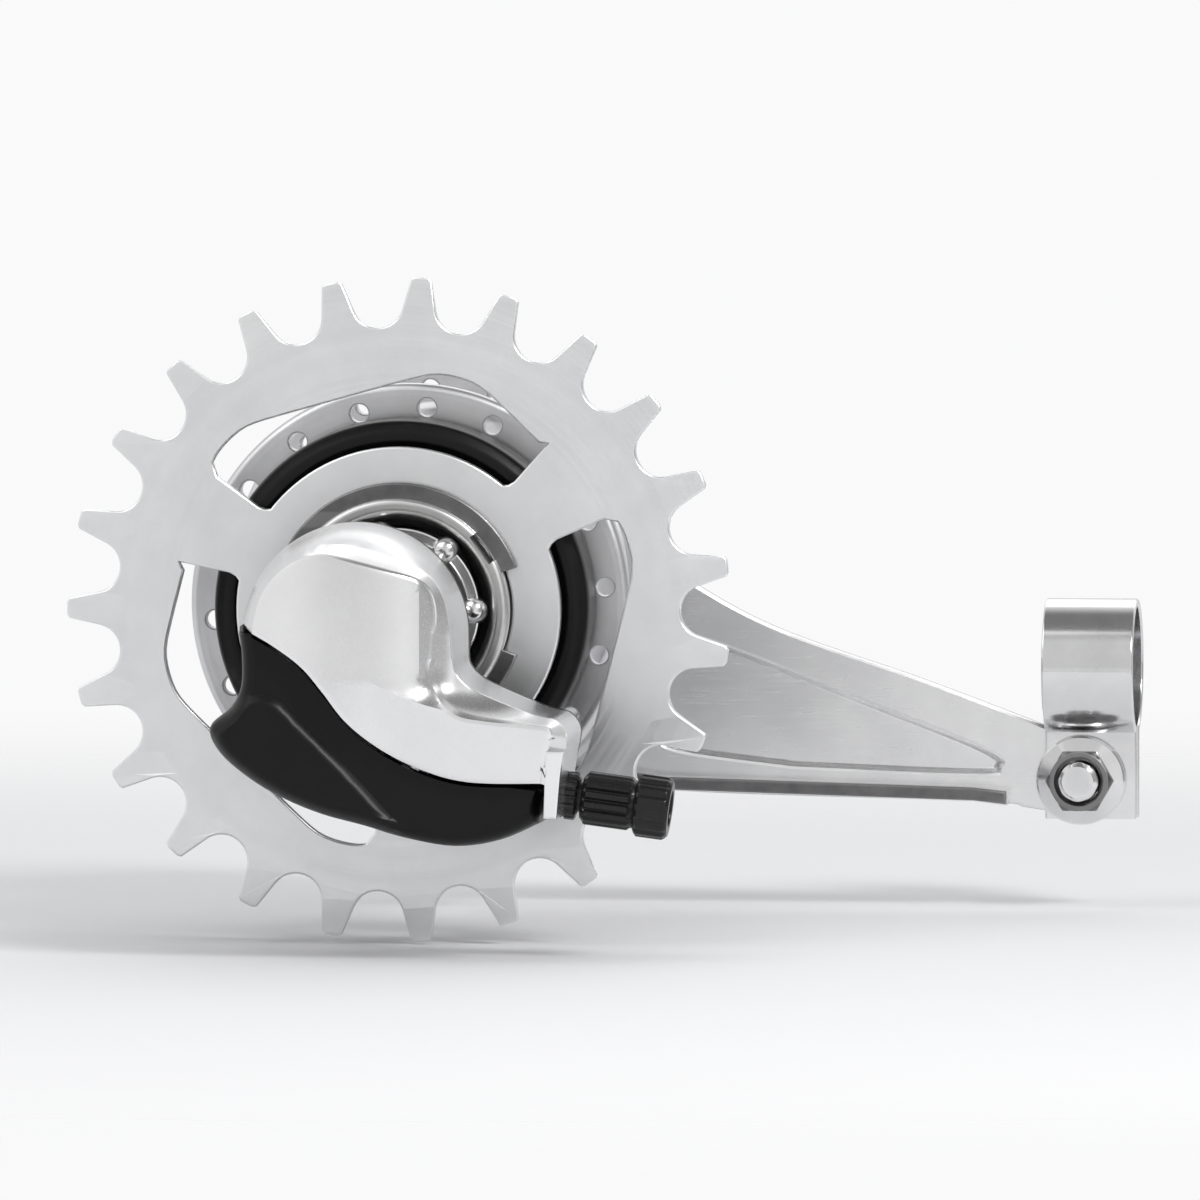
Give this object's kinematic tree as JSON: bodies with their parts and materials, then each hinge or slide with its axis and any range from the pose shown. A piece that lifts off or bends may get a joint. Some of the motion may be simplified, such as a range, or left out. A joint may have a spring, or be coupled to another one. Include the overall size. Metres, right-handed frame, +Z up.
{
  "type": "bicycle hub gear",
  "caption": "Rear bicycle hub gear: flanged shell round planet gears and a back-pedal brake, with a chain sprocket, a side shift unit on the axle end and a reaction arm with its frame clip.",
  "frame": {"origin": "on the axle's centre line, midway between the two faces that meet the frame ends", "axes": "+X to the front of the bicycle, +Y along the axle to the brake side, +Z up; the sprocket is at -Y"},
  "size_m": [0.1539, 0.181, 0.1006],
  "materials": {
    "satin_silver": "satin clear-coated pressed cover",
    "grey_steel": "zinc plated, satin",
    "bright_steel": "bright plated",
    "dark_steel": "hardened, dark",
    "alloy": "die cast, satin",
    "black_plastic": "moulded, matt black",
    "bronze": "sintered, bare"
  },
  "bodies": {
    "axle": {"axle": "grey_steel", "sun_gear": "dark_steel", "right_cone": "grey_steel", "right_locknut": "grey_steel", "left_locknut": "grey_steel", "right_nonturn_washer": "grey_steel", "left_nonturn_washer": "grey_steel", "right_axle_nut": "bright_steel", "left_axle_nut": "bright_steel", "left_cone": "grey_steel", "left_dust_cap": "bright_steel", "brake_arm": "bright_steel", "brake_arm_clip": "bright_steel", "clip_bolt": "bright_steel", "clip_nut": "bright_steel", "shift_housing": "black_plastic", "shift_cover": "satin_silver", "lever_pin": "bright_steel", "fixing_screw": "bright_steel", "barrel_locknut": "black_plastic", "clutch_spring": "bright_steel"},
    "shell": {"hub_shell": "alloy", "right_ball_cup": "grey_steel"},
    "driver": {"driver": "grey_steel", "sprocket": "grey_steel", "snap_ring": "dark_steel", "right_dust_cap": "black_plastic", "ball_retainer_middle": "bright_steel"},
    "ring": {"ring_gear": "grey_steel"},
    "carrier": {"planet_carrier": "grey_steel", "planet_pin_1": "bright_steel", "planet_pin_2": "bright_steel", "planet_pin_3": "bright_steel", "planet_pin_4": "bright_steel"},
    "planet_1": {"planet_gear_1": "dark_steel"},
    "planet_2": {"planet_gear_2": "dark_steel"},
    "planet_3": {"planet_gear_3": "dark_steel"},
    "planet_4": {"planet_gear_4": "dark_steel"},
    "right_balls": {"ball_retainer_right": "bright_steel"},
    "left_balls": {"ball_retainer_left": "bright_steel"},
    "lever": {"bell_crank_lever": "grey_steel", "cable_anchor": "bright_steel"},
    "push_rod": {"push_rod": "bright_steel", "axle_key": "dark_steel"},
    "clutch": {"clutch": "dark_steel"},
    "pawl_1": {"ring_pawl_1": "dark_steel"},
    "pawl_2": {"ring_pawl_2": "dark_steel"},
    "barrel": {"adjusting_barrel": "black_plastic"},
    "brake_cone": {"brake_cone": "grey_steel"},
    "shoe_1": {"brake_shoe_1": "bronze"},
    "shoe_2": {"brake_shoe_2": "bronze"},
    "shoe_3": {"brake_shoe_3": "bronze"}
  },
  "joints": [
    {"name": "shell_spin", "type": "hinge", "parent": "axle", "child": "shell", "pos_m": [0, 0, 0], "axis": [0, 1, 0], "continuous": true},
    {"name": "driver_spin", "type": "hinge", "parent": "axle", "child": "driver", "pos_m": [0, 0, 0], "axis": [0, 1, 0], "continuous": true},
    {"name": "ring_spin", "type": "hinge", "parent": "axle", "child": "ring", "pos_m": [0, 0, 0], "axis": [0, 1, 0], "continuous": true},
    {"name": "carrier_spin", "type": "hinge", "parent": "axle", "child": "carrier", "pos_m": [0, 0, 0], "axis": [0, 1, 0], "continuous": true},
    {"name": "planet_1_spin", "type": "hinge", "parent": "carrier", "child": "planet_1", "pos_m": [0.0135, 0, 0], "axis": [0, 1, 0], "continuous": true},
    {"name": "planet_2_spin", "type": "hinge", "parent": "carrier", "child": "planet_2", "pos_m": [0, 0, 0.0135], "axis": [0, 1, 0], "continuous": true},
    {"name": "planet_3_spin", "type": "hinge", "parent": "carrier", "child": "planet_3", "pos_m": [-0.0135, 0, 0], "axis": [0, 1, 0], "continuous": true},
    {"name": "planet_4_spin", "type": "hinge", "parent": "carrier", "child": "planet_4", "pos_m": [0, 0, -0.0135], "axis": [0, 1, 0], "continuous": true},
    {"name": "right_balls_spin", "type": "hinge", "parent": "axle", "child": "right_balls", "pos_m": [0, 0, 0], "axis": [0, 1, 0], "continuous": true},
    {"name": "left_balls_spin", "type": "hinge", "parent": "axle", "child": "left_balls", "pos_m": [0, 0, 0], "axis": [0, 1, 0], "continuous": true},
    {"name": "lever_swing", "type": "hinge", "parent": "axle", "child": "lever", "pos_m": [0.0064, -0.088, 0], "axis": [0, 0, -1], "range_deg": [0, 40]},
    {"name": "push_rod_slide", "type": "slide", "parent": "axle", "child": "push_rod", "axis": [0, 1, 0], "range_m": [0, 0.00525]},
    {"name": "clutch_slide", "type": "slide", "parent": "driver", "child": "clutch", "axis": [0, 1, 0], "range_m": [0, 0.00525], "deforming": ["clutch_spring"]},
    {"name": "pawl_1_fold", "type": "hinge", "parent": "ring", "child": "pawl_1", "pos_m": [0, -0.0148, 0.0198], "axis": [0, 1, 0], "range_deg": [0, 8], "stiffness_Nm_per_rad": 0.004},
    {"name": "pawl_2_fold", "type": "hinge", "parent": "ring", "child": "pawl_2", "pos_m": [0, -0.0148, -0.0198], "axis": [0, 1, 0], "range_deg": [0, 8], "stiffness_Nm_per_rad": 0.004},
    {"name": "barrel_turn", "type": "hinge", "parent": "axle", "child": "barrel", "pos_m": [0.0285, -0.082, -0.0256], "axis": [0.9912, 0, -0.1323], "range_deg": [-360, 360]},
    {"name": "brake_cone_slide", "type": "slide", "parent": "axle", "child": "brake_cone", "axis": [0, 1, 0], "range_m": [0, 0.0012]},
    {"name": "shoe_1_spread", "type": "slide", "parent": "axle", "child": "shoe_1", "axis": [0, 0, 1], "range_m": [0, 0.0003]},
    {"name": "shoe_2_spread", "type": "slide", "parent": "axle", "child": "shoe_2", "axis": [-0.866, 0, -0.5], "range_m": [0, 0.0003]},
    {"name": "shoe_3_spread", "type": "slide", "parent": "axle", "child": "shoe_3", "axis": [0.866, 0, -0.5], "range_m": [0, 0.0003]}
  ],
  "couplings": [
    {"joint": "driver_spin", "follows": "shell_spin", "ratio": 1},
    {"joint": "ring_spin", "follows": "shell_spin", "ratio": 1},
    {"joint": "carrier_spin", "follows": "shell_spin", "ratio": 0.73333},
    {"joint": "planet_1_spin", "follows": "shell_spin", "ratio": 0.8381},
    {"joint": "planet_2_spin", "follows": "shell_spin", "ratio": 0.8381},
    {"joint": "planet_3_spin", "follows": "shell_spin", "ratio": 0.8381},
    {"joint": "planet_4_spin", "follows": "shell_spin", "ratio": 0.8381},
    {"joint": "right_balls_spin", "follows": "shell_spin", "ratio": 0.6},
    {"joint": "left_balls_spin", "follows": "shell_spin", "ratio": 0.54},
    {"joint": "lever_swing", "follows": "push_rod_slide", "rad_per_m": 132.98},
    {"joint": "clutch_slide", "follows": "push_rod_slide", "ratio": 1},
    {"joint": "shoe_1_spread", "follows": "brake_cone_slide", "ratio": 0.25},
    {"joint": "shoe_2_spread", "follows": "brake_cone_slide", "ratio": 0.25},
    {"joint": "shoe_3_spread", "follows": "brake_cone_slide", "ratio": 0.25}
  ]
}
